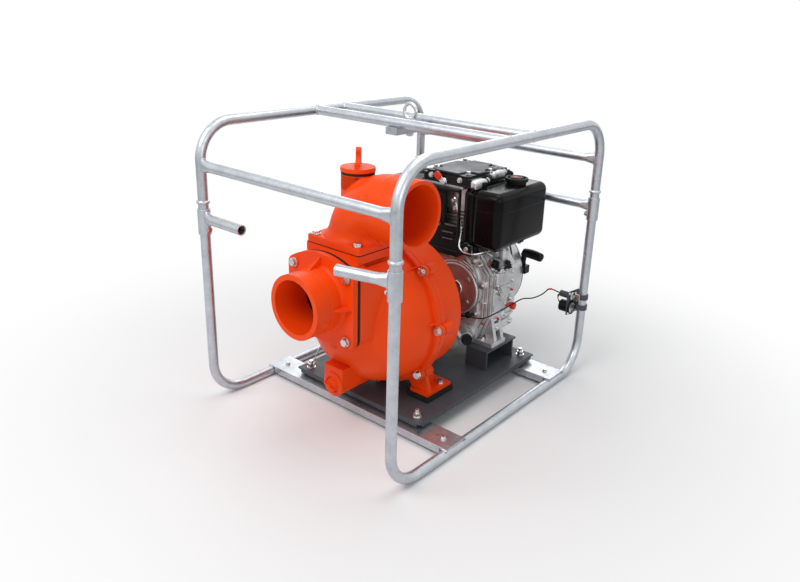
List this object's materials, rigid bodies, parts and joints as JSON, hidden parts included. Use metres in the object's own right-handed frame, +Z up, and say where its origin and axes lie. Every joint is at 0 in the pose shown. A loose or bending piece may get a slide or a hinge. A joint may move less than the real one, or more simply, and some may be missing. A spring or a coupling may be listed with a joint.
{
  "type": "diesel water pump",
  "caption": "Self-priming centrifugal water pump close-coupled to an air-cooled single-cylinder diesel engine, on a base plate with rubber mounts inside a galvanised tube roll frame.",
  "frame": {"origin": "on the ground under the middle of the frame's bounding box", "axes": "+X across the frame towards the discharge port's open end, +Y from the suction port to the engine, +Z up"},
  "size_m": [0.701, 0.953, 0.834],
  "materials": {
    "galvanised_steel": "galvanised, dull bright",
    "plated_steel": "zinc plated",
    "grey_paint": "dark grey satin paint",
    "black_rubber": "matt",
    "orange_paint": "glossy orange paint on casting",
    "cast_iron": "machined casting",
    "primer_paint": "reddish brown paint on casting",
    "cast_aluminium": "as cast",
    "black_paint": "black satin paint",
    "black_plastic": "moulded, slightly glossy",
    "red_plastic": "moulded"
  },
  "bodies": {
    "base": {"lower_hoops": "galvanised_steel", "upper_hoops": "galvanised_steel", "coupling_sleeves": "galvanised_steel", "frame_bolts": "plated_steel", "crossbars": "galvanised_steel", "top_tubes": "galvanised_steel", "hand_stubs": "galvanised_steel", "lifting_bar": "galvanised_steel", "lifting_eye": "plated_steel", "cross_channels": "galvanised_steel", "base_plate": "grey_paint", "rubber_mounts": "black_rubber", "mount_studs": "plated_steel", "pump_foot_pads": "black_rubber", "foot_bolts": "plated_steel", "engine_pedestals": "grey_paint", "front_casing": "orange_paint", "rear_casing": "orange_paint", "casing_seal": "black_rubber", "pump_bolts": "plated_steel", "suction_cover": "orange_paint", "flap_seat_gasket": "black_rubber", "discharge_elbow": "orange_paint", "discharge_gaskets": "black_rubber", "wear_plate": "cast_iron", "mechanical_seal": "cast_iron", "adapter_housing": "primer_paint", "main_bearings": "plated_steel", "crankcase": "cast_aluminium", "crankcase_cover": "cast_aluminium", "engine_bolts": "plated_steel", "cylinder_block": "cast_aluminium", "bonnet": "black_paint", "air_cowl": "black_paint", "fan_housing": "cast_aluminium", "recoil_cover": "black_plastic", "fuel_tank": "black_plastic", "injection_pump": "cast_aluminium", "governor_plate": "cast_aluminium", "muffler": "black_paint", "air_cleaner": "black_paint", "instrument_plate": "grey_paint", "hour_meter": "black_plastic", "fuel_pipes": "plated_steel", "wiring_cable": "black_plastic"},
    "rotor": {"crankshaft": "plated_steel", "impeller": "cast_iron", "flywheel_fan": "cast_aluminium"},
    "flap": {"check_flap": "black_rubber"},
    "filler_lid": {"filler_cap": "orange_paint"},
    "drain": {"drain_plug": "orange_paint"},
    "valve_lift": {"decompression_lever": "red_plastic"},
    "starter_pulley": {"recoil_pulley": "black_plastic"},
    "starter_grip": {"recoil_handle": "black_plastic"},
    "tank_lid": {"tank_cap": "black_plastic"},
    "cock": {"fuel_cock": "black_plastic"},
    "speed": {"speed_lever": "plated_steel"},
    "stop": {"stop_lever": "red_plastic"},
    "oil_lid": {"oil_cap": "black_plastic"},
    "key": {"key_switch": "plated_steel"}
  },
  "joints": [
    {"name": "rotor_spin", "type": "hinge", "parent": "base", "child": "rotor", "pos_m": [0, 0.0151, 0.28], "axis": [0, 1, 0], "continuous": true},
    {"name": "flap_swing", "type": "hinge", "parent": "base", "child": "flap", "pos_m": [0, -0.2999, 0.457], "axis": [1, 0, 0], "range_deg": [0, 42]},
    {"name": "filler_cap_turn", "type": "hinge", "parent": "base", "child": "filler_lid", "pos_m": [0, -0.1969, 0.69], "axis": [0, 0, 1], "range_deg": [0, 360]},
    {"name": "drain_plug_turn", "type": "hinge", "parent": "base", "child": "drain", "pos_m": [0, -0.2849, 0.115], "axis": [0, -1, 0], "range_deg": [0, 360]},
    {"name": "decompression_turn", "type": "hinge", "parent": "base", "child": "valve_lift", "pos_m": [-0.002, 0.1651, 0.599], "axis": [0, 1, 0], "range_deg": [0, 45], "stiffness_Nm_per_rad": 0.25, "springref_deg": -17.19},
    {"name": "starter_pull", "type": "slide", "parent": "base", "child": "starter_grip", "axis": [0, 0.766, 0.6428], "range_m": [0, 0.6], "stiffness_N_per_m": 25, "springref_m": -0.4},
    {"name": "pulley_wind", "type": "hinge", "parent": "base", "child": "starter_pulley", "pos_m": [0, 0.4231, 0.28], "axis": [0, -1, 0], "range_deg": [0, 640]},
    {"name": "tank_cap_turn", "type": "hinge", "parent": "base", "child": "tank_lid", "pos_m": [0.145, 0.3251, 0.6], "axis": [0, 0, 1], "range_deg": [0, 360]},
    {"name": "fuel_cock_turn", "type": "hinge", "parent": "base", "child": "cock", "pos_m": [0.16, 0.2141, 0.371], "axis": [1, 0, 0], "range_deg": [0, 90]},
    {"name": "speed_lever_turn", "type": "hinge", "parent": "base", "child": "speed", "pos_m": [0.175, 0.2551, 0.258], "axis": [1, 0, 0], "range_deg": [-60, 0]},
    {"name": "stop_lever_turn", "type": "hinge", "parent": "base", "child": "stop", "pos_m": [0.173, 0.2831, 0.228], "axis": [1, 0, 0], "range_deg": [0, 25], "stiffness_Nm_per_rad": 0.2, "springref_deg": -17.19},
    {"name": "oil_cap_turn", "type": "hinge", "parent": "base", "child": "oil_lid", "pos_m": [0.088, 0.1651, 0.148], "axis": [0.8192, -0.5736, 0], "range_deg": [0, 360]},
    {"name": "key_turn", "type": "hinge", "parent": "base", "child": "key", "pos_m": [0.309, 0.4251, 0.253], "axis": [1, 0, 0], "range_deg": [0, 90]}
  ],
  "couplings": [
    {"joint": "pulley_wind", "follows": "starter_pull", "rad_per_m": 18.182}
  ]
}
